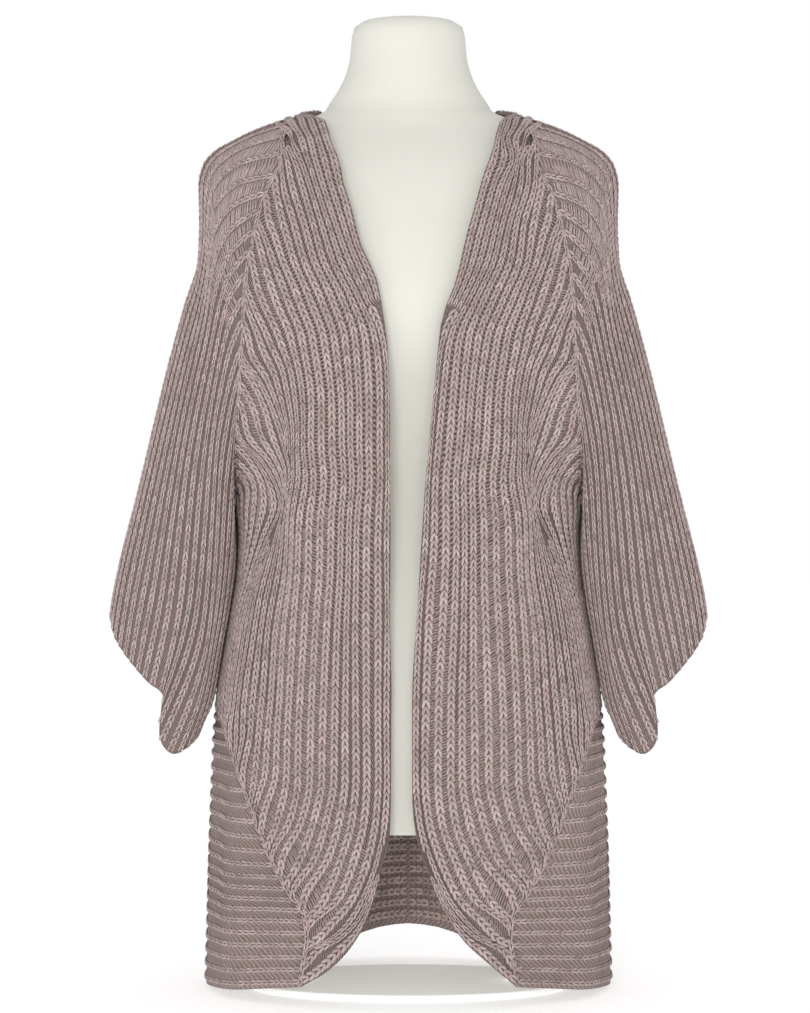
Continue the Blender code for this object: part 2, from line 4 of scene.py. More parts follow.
import bmesh
import bpy
import numpy as np
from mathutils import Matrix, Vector


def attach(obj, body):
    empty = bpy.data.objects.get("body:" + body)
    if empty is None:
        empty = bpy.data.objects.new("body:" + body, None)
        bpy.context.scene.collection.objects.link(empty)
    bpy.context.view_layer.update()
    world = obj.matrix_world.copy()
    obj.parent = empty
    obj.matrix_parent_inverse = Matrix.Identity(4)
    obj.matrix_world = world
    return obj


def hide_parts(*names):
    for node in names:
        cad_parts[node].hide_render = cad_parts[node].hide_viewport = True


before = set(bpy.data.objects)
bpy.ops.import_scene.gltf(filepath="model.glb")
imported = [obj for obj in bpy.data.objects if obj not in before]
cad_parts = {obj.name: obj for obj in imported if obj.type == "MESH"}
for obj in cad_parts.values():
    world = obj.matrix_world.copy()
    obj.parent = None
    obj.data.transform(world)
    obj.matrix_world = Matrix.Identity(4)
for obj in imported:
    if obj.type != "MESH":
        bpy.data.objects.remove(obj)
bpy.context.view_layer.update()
print("frame loaded")

mm = 0.001
dice = np.random.default_rng(11)

# The worn surface of the body, mm. A place on it is a turn, in degrees from the centre front,
# and a height. The wearer's left is +X.
body = {
    "sections": (  # height, half width, depth in front, depth behind
        (0, 193, 128, 158), (60, 191, 128, 157), (158, 188, 127, 154), (240, 185, 126, 150),
        (288, 180, 127, 146), (318, 175, 128, 143), (358, 168, 130, 140), (398, 161, 131, 137),
        (428, 159.5, 132, 135), (452, 162, 133, 134), (464, 163, 133, 134), (477, 166, 134, 133),
        (507, 182, 135, 132), (551, 198.5, 134, 130), (578, 208, 133, 130), (600, 213, 132, 130),
        (628, 214, 131, 130), (670, 205, 129, 129), (708, 197, 124, 128), (740, 195.5, 117, 124),
        (770, 195, 108, 119), (786, 187, 99, 112), (803, 160, 86, 100), (822, 114.5, 66, 76),
        (831.7, 83.5, 54, 62),
    ),
    "folds": (  # turn, height, reach of either, rise
        (58, 90, 9, 120, 5), (44, 60, 7, 80, -4), (74, 140, 8, 110, -5), (24, 330, 6, 150, 3),
        (47, 390, 7, 90, -5), (38, 420, 6, 110, 4), (104, 120, 9, 130, 6), (121, 90, 8, 110, -5),
        (140, 130, 10, 150, 6), (160, 110, 9, 130, -5), (129, 420, 9, 110, 5),
        (146, 470, 8, 120, -4), (99, 385, 9, 80, 6),
    ),
}

# The knit, the same for every panel
knit = {
    "wall": 3.2 * mm,  # from the middle of the ribs' relief to the middle of the inside's
    "groove": 1.2 * mm,  # how deep the ground lies between two ribs
    "crest": 0.3 * mm,  # how deep it lies under the stitches
    "insideRelief": 0.9 * mm,
    "seamShift": 0.25 * mm,
    "columnsPerRib": 4,
    "insideStep": 2,  # every so many columns on the inside
    "stitch": 6.5 * mm,  # from one stitch to the next down a rib
    "insideShade": 0.75,  # as dark as a groove this deep
}


def curveAt(knots, values, at, free=False):
    # smooth curve through the values; only a free one may overshoot a value
    knots, values, at = np.asarray(knots, float), np.asarray(values, float), np.asarray(at, float)
    steps = np.diff(knots)[:, None]
    secants = np.diff(values, axis=0) / steps
    before, after = secants[:-1], secants[1:]
    slopes = np.concatenate([secants[:1], secants[:1].repeat(len(knots) - 2, axis=0), secants[-1:]])
    if free:
        share = steps[1:] / (steps[:-1] + steps[1:])
        slopes[1:-1] = before * share + after * (1 - share)
    else:
        product = before * after
        total = np.where(product > 0, before + after, 1.0)
        slopes[1:-1] = np.where(product > 0, 2 * product / total, 0.0)
    first = np.clip(np.searchsorted(knots, at, side="right") - 1, 0, len(knots) - 2)
    step = (knots[first + 1] - knots[first])[:, None]
    t = ((at - knots[first]) / (knots[first + 1] - knots[first]))[:, None]
    return (
        values[first] * (1 + 2 * t) * (1 - t) ** 2
        + values[first + 1] * t**2 * (3 - 2 * t)
        + slopes[first] * step * t * (1 - t) ** 2
        - slopes[first + 1] * step * t**2 * (1 - t)
    )


def bodySections(heights):
    table = np.array(body["sections"], float) * mm
    return curveAt(table[:, 0], table[:, 1:], np.ravel(heights)).T


def bodySurface(turns, heights):
    # points and outward normals; turns are radians, left positive
    shape = np.shape(turns)
    turns, heights = np.ravel(turns), np.ravel(heights)
    width, front, back = bodySections(heights)
    widthSlope, frontSlope, backSlope = (
        bodySections(heights + mm) - bodySections(heights - mm)
    ) / (2 * mm)
    sine, cosine = np.sin(turns), np.cos(turns)
    depth = np.where(cosine > 0, front, back)
    depthSlope = np.where(cosine > 0, frontSlope, backSlope)
    points = np.stack([width * sine, -depth * cosine, heights], axis=1)
    lean = -(width * depthSlope * cosine**2 + depth * widthSlope * sine**2)
    normals = unit(np.stack([depth * sine, -width * cosine, lean], axis=1))
    rise = np.zeros_like(turns)
    for turn, height, turnReach, heightReach, most in body["folds"]:
        across = (np.degrees(np.abs(turns)) - turn) / turnReach
        along = (heights / mm - height) / heightReach
        rise += most * mm * np.exp(-(across**2) - along**2)
    points += normals * rise[:, None]
    return points.reshape(*shape, 3), normals.reshape(*shape, 3)


def unit(vectors):
    return vectors / np.maximum(np.linalg.norm(vectors, axis=-1, keepdims=True), 1e-12)


def lengthsAlong(points):
    return np.concatenate([[0], np.cumsum(np.linalg.norm(np.diff(points, axis=0), axis=1))])


def evenPlaces(places, shares):
    lengths = lengthsAlong(bodySurface(places[:, 0], places[:, 1])[0])
    return np.stack([np.interp(shares, lengths / lengths[-1], c) for c in places.T], axis=1)


def evenPath(points, shares):
    knots = lengthsAlong(np.array(points, float))
    return curveAt(knots / knots[-1], points, shares)


# Where the fronts' ribs meet the other panels: rib, turn, height
seams = {
    "mitre": (
        (0, 31, 19), (2, 30, 41), (4, 29, 63), (6, 30, 84), (8, 35, 103), (10, 40, 123),
        (12, 45, 147), (15, 52, 187), (18, 62, 228), (20, 72, 251), (22, 90, 272),
    ),
    "raglan": (
        (0, 90, 822), (1, 63, 813), (2, 47, 804), (3, 40, 789), (4, 37, 768), (5, 41, 750),
        (6, 43, 735), (7, 45, 718), (8, 46, 699), (9, 46.5, 680), (10, 46, 658), (11, 45, 637),
        (12, 45, 615), (13, 46.3, 592), (14, 49, 569), (15, 53, 545), (16, 59, 518),
        (17, 71, 485), (18, 90, 452),
    ),
    "frontRibs": 22,
    "neckRibs": 4,
    "armholeRibs": 18,
    "neckHeight": 831.7,
    "underarmRib": 12,  # past which the armhole turns under
    "underarmBend": 1.5,
}


def placesByRib(table, ribs):
    table = np.array(table, float)
    places = curveAt(table[:, 0], table[:, 1:], ribs)
    return np.stack([np.radians(places[:, 0]), places[:, 1] * mm], axis=1)


def shoulderPlaces(ribs):
    share = np.asarray(ribs, float) / seams["neckRibs"]
    low, high = seams["raglan"][0][2], seams["neckHeight"]
    heights = (high + (low - high) * share) * mm
    return np.stack([np.full_like(heights, math.pi / 2), heights], axis=1)


def underarmNormals(normals, ribs):
    # the armhole's normals turn down where the cloth faces the floor
    reach = seams["armholeRibs"] - seams["underarmRib"]
    share = np.clip((np.asarray(ribs, float) - seams["underarmRib"]) / reach, 0, 1)
    share = share[:, None] ** seams["underarmBend"]
    return unit(normals * (1 - share) + np.array([0, 0, -1.0]) * share)


def stepBack(points, normals, row, inward):
    # a seam row moves the seam's clearance into its own panel
    side = unit(np.cross(np.gradient(points[row], axis=0), normals[row]))
    toward = np.sign((side * (points[inward] - points[row])).sum())
    points[row] += knit["seamShift"] * toward * side


def newMesh(name, vertices, faces, material, placeName, places):
    # triangles, and for each vertex its place in the knit
    mesh = bpy.data.meshes.new(name)
    mesh.vertices.add(len(vertices))
    mesh.vertices.foreach_set("co", np.ascontiguousarray(vertices, np.float32).ravel())
    mesh.loops.add(faces.size)
    mesh.loops.foreach_set("vertex_index", np.ascontiguousarray(faces, np.int32).ravel())
    mesh.polygons.add(len(faces))
    mesh.polygons.foreach_set("loop_start", np.arange(0, faces.size, faces.shape[1], np.int32))
    mesh.update(calc_edges=True)
    mesh.validate()
    attribute = mesh.attributes.new(placeName, "FLOAT_VECTOR", "POINT")
    attribute.data.foreach_set("vector", np.ascontiguousarray(places, np.float32).ravel())
    mesh.shade_smooth()
    mesh.materials.append(material)
    return newPiece(name, mesh)


def newPiece(name, data):
    made = bpy.data.objects.new(name, data)
    bpy.context.scene.collection.objects.link(made)
    return made


def gridFaces(at, closed):
    across = np.concatenate([at, at[:, :1]], axis=1) if closed else at
    corners = (across[:-1, :-1], across[:-1, 1:], across[1:, 1:], across[1:, :-1])
    return np.stack(corners, axis=-1).reshape(-1, 4)


def knitGround(name, points, normals, material, closed=False, flip=False):
    # the panel's wall: grooves between the ribs, and a shallower relief on the inside
    rows, columns = points.shape[:2]
    ribAt = np.arange(columns) / knit["columnsPerRib"]
    wave = np.cos(2 * math.pi * ribAt)  # 1 in a groove
    depth = knit["crest"] + (knit["groove"] - knit["crest"]) * (wave + 1) / 2
    outer = points - normals * depth[None, :, None]
    step = knit["insideStep"]
    kept = np.arange(0, columns, step)
    insideRise = knit["insideRelief"] * np.cos(2 * math.pi * ribAt[kept])
    inner = points[:, kept] - normals[:, kept] * (knit["wall"] + insideRise[None, :, None])
    vertices = np.concatenate([outer.reshape(-1, 3), inner.reshape(-1, 3)])
    outerAt = np.arange(rows * columns).reshape(rows, columns)
    innerAt = rows * columns + np.arange(rows * len(kept)).reshape(rows, -1)
    quads = [gridFaces(outerAt, closed), gridFaces(innerAt, closed)[:, ::-1]]
    triangles = []
    for row, turn in ((0, 1), (rows - 1, -1)):
        first, second = outerAt[row], innerAt[row]
        if closed:
            first, second = np.append(first, first[0]), np.append(second, second[0])
        for j in range(len(second) - 1):
            c = j * step
            fan = [(first[c + step // 2], second[j], second[j + 1])]
            for k in range(step):
                fan.append((first[c + k + 1], first[c + k], second[j + 2 * k // step]))
            triangles += [corners[::turn] for corners in fan]
    if not closed:
        for column, turn in ((0, 1), (-1, -1)):
            a, b = outerAt[:-1, column], outerAt[1:, column]
            c, d = innerAt[1:, column], innerAt[:-1, column]
            quads.append(np.stack([a, b, c, d], axis=1)[:, ::turn])
    quads = np.concatenate(quads)
    faces = np.concatenate([quads[:, [0, 1, 2]], quads[:, [0, 2, 3]], np.array(triangles)])
    lengths = np.linalg.norm(np.diff(points, axis=0), axis=2).mean(axis=1)
    down = np.concatenate([[0], np.cumsum(lengths)])[:, None] / knit["stitch"]
    # the third value of each place is painted shade: the ground darker the deeper its groove, the
    # inside as dark as a deep groove
    places = [
        np.stack(np.broadcast_arrays(ribs, down, shade), axis=-1).reshape(-1, 3)
        for ribs, shade in ((ribAt, depth / knit["groove"]), (ribAt[kept], knit["insideShade"]))
    ]
    faces = faces[:, ::-1] if flip else faces
    return newMesh(name, vertices, faces, material, "knitPlaceAndShade", np.concatenate(places))


# One stitch is an arch of yarn, from its left foot over its top to its right foot: how far
# down the rib each place is, how far out from the rib's middle, how far up, and how thick
arch = {
    "down": (1.52, 0.95, 0.36, 0.0, 0.36, 0.95, 1.52),  # stitches
    "out": (-0.25, -0.26, -0.2, 0.0, 0.2, 0.26, 0.25),  # widths of the rib
    "up": (-0.7, 0.1, 0.6, 0.8, 0.6, 0.1, -0.7),  # mm
    "thick": (0.0, 0.95, 1.0, 0.9, 1.0, 0.95, 0.0),
    "sides": 4,
    "half": 0.175,  # half the yarn's width, in widths of the rib
    "leastHalf": 0.55 * mm,
    "mostHalf": 2.2 * mm,
    "height": 0.7,  # of the half width
    # a rib's width, and the width that its stitches take
    "bodyWidths": ((4 * mm, 10 * mm, 18 * mm, 30 * mm), (4 * mm, 9.4 * mm, 11 * mm, 6 * mm)),
    "bandWidths": ((4 * mm, 9 * mm, 14 * mm), (3.5 * mm, 5.6 * mm, 6 * mm)),
    "sleeveWidths": ((4 * mm, 10 * mm, 18 * mm), (3.4 * mm, 7.6 * mm, 6.4 * mm)),
    "leastWidth": 2.2 * mm,  # narrower ribs are folded in and show no stitches
    "coarse": (0, 1, 2, 4, 5, 6),  # the places used inside the back
    "firstAt": 0.15,  # stitches
    "endRoom": 0.4,
    "scatter": 0.05,
    "sizes": 0.06,
    "lean": 0.06,
    "wander": 0.12 * mm,
    "waves": (21 * mm, 43 * mm),
    "fullRise": 8 * mm,  # the width of stitches that rise as "up" says
    "mostRise": 1.2,
    "tone": (0.5, 0.22),
}
# A strand across the open ground between two ribs that are pulled apart
strand = {
    "from": {"body": 10.5 * mm, "sleeve": 12 * mm},  # ribs further apart show the strands
    "spacing": 0.42,  # stitches
    "endRoom": (0.3, 0.6),
    "scatter": 0.1,
    "slant": -0.5,  # of its width
    "hidden": 4 * mm,  # the part of the width that lies under the ribs' stitches
    "half": 0.82 * mm,
    "height": 0.85,
    "growth": (10 * mm, 18 * mm),  # over these widths a strand gets a quarter as thick again
    "mostGrowth": 1.25,
    "shares": (0.0, 0.14, 0.5, 0.86, 1.0),  # places along it
    "lift": (-1.1, -0.5, -0.35, -0.5, -1.1),  # mm
    "inset": (0.2, 2 * mm),
    "tone": {"body": 0.2, "sleeve": 0.5},
    "toneSpread": 0.2,
    "sides": 3,
}


def tubes(centres, ups, halves, heights, sides):
    # closed spindles along short paths: centres is pieces x rings x 3; the end rings are points
    count, rings = centres.shape[:2]
    tangents = unit(np.gradient(centres, axis=1))
    across = unit(np.cross(ups, tangents))
    ups = unit(np.cross(tangents, across))
    turn = 2 * math.pi * np.arange(sides) / sides
    inner = slice(1, rings - 1)
    ring = (
        centres[:, inner, None]
        + across[:, inner, None] * (halves[:, inner, None] * np.cos(turn))[..., None]
        + ups[:, inner, None] * (heights[:, inner, None] * np.sin(turn))[..., None]
    )
    middle = (rings - 2) * sides
    vertices = np.concatenate([centres[:, :1], ring.reshape(count, middle, 3), centres[:, -1:]], 1)
    faces = []
    for side in range(sides):
        after = (side + 1) % sides
        faces.append((0, 1 + after, 1 + side))
        for row in range(rings - 3):
            low, high = 1 + row * sides, 1 + (row + 1) * sides
            faces.append((low + side, low + after, high + after))
            faces.append((low + side, high + after, high + side))
        last = 1 + (rings - 3) * sides
        faces.append((last + side, last + after, middle + 1))
    faces = np.array(faces)[None] + (np.arange(count) * (middle + 2))[:, None, None]
    place = np.zeros((count, middle + 2, 3))
    place[:, 1:-1, 0] = np.tile(np.cos(turn), rings - 2)
    place[:, 1:-1, 1] = np.repeat(np.arange(1, rings - 1) / (rings - 1), sides)
    place[:, -1, 1] = 1
    return vertices, faces, place


def ribLines(points, normals):
    c, columns = knit["columnsPerRib"], points.shape[1]
    return [
        lineBetween(points, normals, low, low + c // 2, (low + c) % columns)
        for low in range(0, columns - 1, c)
    ]


def lineBetween(points, normals, low, middle, high):
    # the middle of a rib, the way across it as long as it is wide, and its normal, row by row
    centre, across = points[:, middle], points[:, high] - points[:, low]
    along = unit(np.gradient(centre, axis=0))
    across = across - along * (across * along).sum(axis=1, keepdims=True)
    return centre, across, normals[:, middle]


def atLengths(lengths, values, at):
    return np.stack([np.interp(at, lengths, column) for column in values.T], axis=-1)


def stitchChain(centre, width, normal, inside=False, widths="bodyWidths", lean=arch["lean"]):
    # the stitches down one rib, outside or inside the cloth
    kept = list(arch["coarse"]) if inside else slice(None)
    archDown, archOut, archUp, archThick = (
        np.array(arch[name])[kept] for name in ("down", "out", "up", "thick")
    )
    lengths = lengthsAlong(centre)
    pitch = knit["stitch"]
    count = int((lengths[-1] - arch["endRoom"] * pitch) / pitch)
    if count < 1:
        return []
    step = (lengths[-1] - (arch["endRoom"] + arch["firstAt"]) * pitch) / count
    scatter = dice.uniform(-arch["scatter"], arch["scatter"], count) * pitch
    starts = arch["firstAt"] * pitch + np.arange(count) * step + scatter
    phases = dice.uniform(0, 2 * math.pi, 2)
    wander = sum(np.sin(starts / wave + phase) for wave, phase in zip(arch["waves"], phases))
    long = 1 + dice.uniform(-arch["sizes"], arch["sizes"], (count, 1))
    wide = 1 + dice.uniform(-arch["sizes"], arch["sizes"], (count, 1))
    tilt = dice.uniform(-lean, lean, (count, 1))
    shown = np.interp(starts, lengths, np.linalg.norm(width, axis=1)) > arch["leastWidth"]
    if not shown.any():
        return []
    starts, wander, long, wide, tilt = (
        values[shown] for values in (starts, wander, long, wide, tilt)
    )
    count = len(starts)
    at = starts[:, None] + (archDown * long + tilt * np.sign(archOut)) * step
    middle, across, up = (atLengths(lengths, values, at) for values in (centre, width, normal))
    up = unit(up) * (-1 if inside else 1)
    ribWidth = np.linalg.norm(across, axis=2)
    across = across / ribWidth[..., None]
    ribWidth = np.interp(ribWidth, *arch[widths]) * wide
    out = archOut * ribWidth + arch["wander"] * wander[:, None]
    rise = archUp * mm * np.minimum(ribWidth / arch["fullRise"], arch["mostRise"])
    half = np.clip(arch["half"] * ribWidth, arch["leastHalf"], arch["mostHalf"]) * archThick
    centres = middle + across * out[..., None] + up * rise[..., None]
    made = tubes(centres, up, half, half * arch["height"], arch["sides"])
    tone, spread = arch["tone"]
    made[2][..., 2] = (tone + spread * dice.standard_normal(count))[:, None]
    return [made]


def strandRow(first, second, panel):
    # strands from the side of one rib to the side of the next, where they lie far apart
    (centre, width, normal), nextWidth = first, second[1]
    lengths = lengthsAlong(centre)
    stitch = knit["stitch"]
    apart = (np.linalg.norm(width, axis=1) + np.linalg.norm(nextWidth, axis=1)) / 2
    low, high = strand["endRoom"]
    at = np.arange(low, lengths[-1] / stitch - high, strand["spacing"]) * stitch
    at = at[np.interp(at, lengths, apart) > strand["from"][panel]]
    if not len(at):
        return []
    at = at + dice.uniform(-strand["scatter"], strand["scatter"], len(at)) * stitch
    shares = np.array(strand["shares"])
    gap = np.interp(at, lengths, apart)[:, None]
    slanted = at[:, None] + (shares - 0.5) * strand["slant"] * (gap - strand["hidden"])
    slanted = np.clip(slanted, 0, lengths[-1])
    middle, across, up = (
        atLengths(lengths, values, slanted) for values in (centre, (width + nextWidth) / 2, normal)
    )
    part, most = strand["inset"]
    inset = np.minimum(part * gap, most) / gap
    share = inset + (1 - 2 * inset) * shares
    lift = np.array(strand["lift"]) * mm
    centres = middle + across * share[..., None] + unit(up) * lift[:, None]
    half = strand["half"] * np.interp(gap, strand["growth"], (1, strand["mostGrowth"])) + 0 * share
    made = tubes(centres, up, half, half * strand["height"], strand["sides"])
    spread = strand["toneSpread"] * dice.standard_normal(len(at))[:, None]
    made[2][..., 2] = strand["tone"][panel] + spread
    return [made]


def joinParts(name, parts, material):
    vertices, faces, places = ([rows.reshape(-1, 3) for rows in kind] for kind in zip(*parts))
    starts = np.cumsum([0, *map(len, vertices)])
    faces = np.concatenate([rows + start for rows, start in zip(faces, starts)])
    places = np.concatenate(places)
    return newMesh(name, np.concatenate(vertices), faces, material, "strandPlace", places)


def mirrored(values, side):
    return values * np.array([side, 1, 1])


def flipped(parts, side):
    # parts of a left panel moved to the right one, with their faces still outward
    if side > 0:
        return parts
    return [(mirrored(v, side), f[..., ::-1], p) for v, f, p in parts]


def newMaterial(name, sockets):
    made = bpy.data.materials.new(name)
    made.use_nodes = True
    nodes, links = made.node_tree.nodes, made.node_tree.links
    shader = nodes["Principled BSDF"]
    for socket, value in sockets.items():
        shader.inputs[socket].default_value = value
    return made, nodes, links, shader


def addNode(nodes, kind, **values):
    made = nodes.new(kind)
    for name, value in values.items():
        if name.startswith("in_"):
            key = name[3:]
            made.inputs[int(key) if key.isdigit() else key.replace("_", " ")].default_value = value
        else:
            setattr(made, name, value)
    return made


def calculate(nodes, links, operation, *values):
    made = nodes.new("ShaderNodeMath")
    made.operation = operation
    for at, value in enumerate(values):
        if isinstance(value, (int, float)):
            made.inputs[at].default_value = value
        else:
            links.new(value, made.inputs[at])
    return made.outputs[0]


def ramp(nodes, links, source, stops):
    made = nodes.new("ShaderNodeValToRGB")
    elements = made.color_ramp.elements
    while len(elements) < len(stops):
        elements.new(0.5)
    for element, (at, colour) in zip(elements, stops):
        element.position = at
        element.color = (*colour, 1)
    links.new(source, made.inputs[0])
    return made.outputs[0]


def noises(nodes, links, sizes):
    spot = nodes.new("ShaderNodeTexCoord").outputs["Object"]
    made = []
    for scale, detail in sizes:
        noise = addNode(nodes, "ShaderNodeTexNoise", in_Scale=scale, in_Detail=detail)
        links.new(spot, noise.inputs["Vector"])
        made.append(noise.outputs[0])
    return made


def bumpBy(nodes, links, shader, height, size):
    bump = addNode(nodes, "ShaderNodeBump", in_Strength=size[0], in_Distance=size[1])
    links.new(height, bump.inputs["Height"])
    links.new(bump.outputs[0], shader.inputs["Normal"])


def woolMaterial(name, look):
    made, nodes, links, shader = newMaterial(name, look["sockets"])
    calc = functools.partial(calculate, nodes, links)
    place = addNode(nodes, "ShaderNodeAttribute", attribute_name=look["places"])
    parts = nodes.new("ShaderNodeSeparateXYZ")
    links.new(place.outputs["Vector"], parts.inputs[0])
    heather, fibre = noises(nodes, links, (look["heatherSize"], look["fibreSize"]))
    tone, relief = look["pattern"](calc, parts.outputs, heather, fibre, look)
    mix = addNode(nodes, "ShaderNodeMix", data_type="RGBA", blend_type="MULTIPLY", in_0=1.0)
    links.new(ramp(nodes, links, tone, look["tones"]), mix.inputs[6])
    links.new(ramp(nodes, links, heather, look["heather"]), mix.inputs[7])
    links.new(mix.outputs[2], shader.inputs["Base Color"])
    bumpBy(nodes, links, shader, relief, look["bump"])
    links.new(calc("MULTIPLY_ADD", fibre, *look["rough"]), shader.inputs["Roughness"])
    return made


def yarnPattern(calc, place, heather, fibre, look):
    # the yarn's plies run slantwise round each leg
    around, down, shade = place
    slant = calc("MULTIPLY_ADD", down, look["twists"], calc("MULTIPLY", around, look["turn"]))
    plies = calc("SINE", calc("MULTIPLY", slant, 2 * math.pi))
    tone = calc("MULTIPLY_ADD", shade, look["shade"], calc("MULTIPLY", fibre, look["fibreTone"]))
    fibreRise = calc("MULTIPLY", fibre, look["fibreRise"])
    return tone, calc("MULTIPLY_ADD", plies, look["plyRise"], fibreRise)


def groundPattern(calc, place, heather, fibre, look):
    # short slanted strands lie in the grooves, so their places are counted from rib to rib
    acrossRibs, down, depth = place
    across = calc("FRACT", calc("ADD", acrossRibs, 0.5))
    phase = calc("MULTIPLY_ADD", across, look["slant"], down)
    wobble = calc("MULTIPLY", heather, look["wobble"])
    strands = calc("SINE", calc("MULTIPLY_ADD", phase, 2 * math.pi * look["strands"], wobble))
    # painted shade: the deeper the ground lies, the darker it is painted
    tone = calc("MULTIPLY_ADD", depth, -look["depth"], look["level"])
    tone = calc("MULTIPLY_ADD", strands, look["contrast"], tone)
    tone = calc("MULTIPLY_ADD", fibre, look["fibreTone"], tone)
    return tone, calc("MULTIPLY_ADD", fibre, look["fibreRise"], strands)


wool = {
    "pattern": yarnPattern,
    "places": "strandPlace",
    "tones": (
        (0.15, (0.335, 0.25, 0.24)), (0.45, (0.455, 0.36, 0.35)), (0.8, (0.60, 0.488, 0.478)),
    ),
    "heather": (
        (0.35, (0.93, 0.93, 0.90)), (0.5, (1.0, 1.0, 1.0)), (0.68, (1.0, 0.93, 0.93)),
    ),
    "heatherSize": (70.0, 3.0),  # scale, detail
    "fibreSize": (900.0, 4.0),
    "shade": 0.45,
    "fibreTone": 0.6,
    "twists": 3.0,  # to a stitch
    "turn": 0.9,
    "plyRise": 0.5,
    "fibreRise": 1.2,
    "bump": (0.6, 0.0003),
    "rough": (0.15, 0.82),
    "sockets": {"Sheen Weight": 0.25, "Sheen Roughness": 0.5, "Specular IOR Level": 0.15},
}
ground = {
    "pattern": groundPattern,
    "places": "knitPlaceAndShade",
    # darker than the yarn's: painted shade of the ground that lies between and under the stitches
    "tones": (
        (0.1, (0.075, 0.05, 0.046)), (0.5, (0.19, 0.14, 0.132)), (0.9, (0.42, 0.33, 0.315)),
    ),
    "heather": wool["heather"],
    "heatherSize": (60.0, 3.0),
    "fibreSize": (700.0, 4.0),
    "strands": 2.3,  # to a stitch
    "slant": 1.1,  # stitches to a rib
    "wobble": 4.0,
    # painted shade: how much darker the bottom of a groove is painted
    "depth": 0.2,
    "contrast": 0.42,
    "level": 0.6,
    "fibreTone": 0.4,
    "fibreRise": 1.5,
    "bump": (0.8, 0.0008),
    "rough": (0.1, 0.85),
    "sockets": {"Sheen Weight": 0.1, "Sheen Roughness": 0.5, "Specular IOR Level": 0.1},
}
yarn = woolMaterial("woolYarn", wool)
groundWool = woolMaterial("woolGround", ground)
groundBack = woolMaterial("woolGroundBack", {**ground, "contrast": 0.15, "level": 0.7})
groundSleeve = woolMaterial("woolGroundSleeve", {**ground, "level": 0.78})

# Ribs of a front from the neck or the raglan down: turn, height
fronts = {
    "edgeRight": (
        (90, 831.7), (34, 813), (23, 790), (19, 770), (18, 751), (16, 732), (13, 695), (8, 659),
        (6, 623), (5, 587), (5, 551), (6, 461), (6, 371), (5, 281), (5, 191), (5.5, 151),
        (7.5, 128), (11, 87), (16, 57), (23, 34), (31, 19),
    ),
    "edgeLeft": (
        (90, 831.7), (38, 813), (26, 791), (22, 770), (20, 751), (18.5, 733), (15, 695), (12, 659),
        (8, 623), (7, 587), (6.4, 551), (5, 461), (3, 371), (1, 281), (1, 191), (2, 159),
        (4.5, 134), (9, 95), (15, 64), (23, 40), (31, 19),
    ),
    "innerRibs": {
        3: (
            (90, 824.4), (70, 822), (55, 817), (43, 808), (35.5, 799), (31, 791), (27, 771),
            (25, 752), (21, 714), (16.5, 677), (11, 641), (7, 605), (6.3, 569), (7.2, 497),
            (8.5, 425), (7.8, 353), (7.5, 281), (7.2, 209), (7.8, 173), (9.7, 137), (14, 100),
            (17.5, 82), (22.5, 65), (29.5, 52),
        ),
        5: (
            (63, 813), (50, 806), (42, 799), (37, 790), (31.5, 772), (29, 752), (25.2, 715),
            (21, 678), (15, 641), (11.8, 605), (11.5, 569), (13, 497), (15.5, 425), (15, 353),
            (13.8, 281), (13.2, 209), (14, 172), (17, 136), (21.5, 100), (29.5, 73),
        ),
        8: (
            (37, 768), (37.2, 754), (34, 716), (29.3, 678), (23.2, 641), (19.5, 605), (18.8, 569),
            (21, 497), (24, 425), (23.6, 353), (23, 281), (22.8, 208), (25.2, 171), (29, 135),
            (35, 103),
        ),
        11: (
            (45, 718), (42.5, 700), (39.2, 680), (32.7, 642), (28.3, 606), (27.2, 569), (30.8, 497),
            (36, 425), (35.6, 352), (34.8, 279), (34.5, 207), (37, 170), (42.5, 135),
        ),
        14: (
            (46, 658), (43.5, 643), (37.8, 606), (34.3, 570), (34.2, 533), (36.8, 497),
            (42.5, 461), (47, 424), (48.4, 351), (46, 278), (46.5, 215), (50, 174),
        ),
        17: (
            (46.3, 592), (42.6, 570), (40, 534), (39, 497), (44.8, 461), (52.5, 424), (58, 370),
            (58.5, 276), (57.5, 240), (59, 214),
        ),
        20: (
            (59, 518), (54.5, 498), (53, 461), (61, 424), (68, 388), (73, 330), (72.5, 280),
            (72, 251),
        ),
        22: ((90, 452), (90, 406), (90, 360), (90, 314), (90, 272)),
    },
    "flat": (0.26, 0.86),  # m
    "area": 0.13,
    "lineSteps": 400,
    "lineBunch": 1.5,
    "edgeEase": 0.7,
    "startReach": ((4, 12, 18, 22), (12 * mm, 60 * mm, 60 * mm, 12 * mm)),
    "endReach": 60 * mm,
    "rows": 72,
    "lean": ((0, 3, 14), (1, 1, 0)),  # how far the inner ribs follow the left edge
    "leanTo": 30,  # degrees
    "ribs": ((0, 17, 20, 23, 28), (0, 17, 19, 20.4, 22)),  # as knitted, and as counted at the seams
    "seamWidth": 6 * mm,
    "seamLean": 0.4,
    "edgeRibs": 3,  # these roll into one thick rib where the edge hangs straight
    "rolled": (130 * mm, 640 * mm),
    "rollMiddle": 0.75,  # of their columns, as the outermost ones are the narrowest
}


def frontLine(rib, drawn, start, end):
    down = np.linspace(0, 1, fronts["lineSteps"]) ** fronts["lineBunch"]
    heights = start[1] + (end[1] - start[1]) * down
    turns = []
    for rows in drawn.values():
        above = [place[1:] for place in seams["raglan"] if place[2] > rows[0][1]]
        below = [place[1:] for place in seams["mitre"][::-1] if place[2] < rows[-1][1]]
        line = np.array([*above, *rows, *below], float)[::-1]
        at = np.clip(heights / mm, line[0, 1], line[-1, 1])
        turns.append(curveAt(line[:, 1], line[:, :1], at)[:, 0])
    turns = np.radians(curveAt(list(drawn), turns, [rib], free=True)[0])
    startReach = np.interp(rib, *fronts["startReach"])
    fromStart = np.clip(1 - (start[1] - heights) / startReach, 0, 1) ** 2
    fromEnd = np.clip(1 - (heights - end[1]) / fronts["endReach"], 0, 1) ** 2
    turns += fromStart * (start[0] - turns[0])
    turns += fromEnd * (end[0] - turns[-1])
    return np.stack([turns, heights], axis=1)


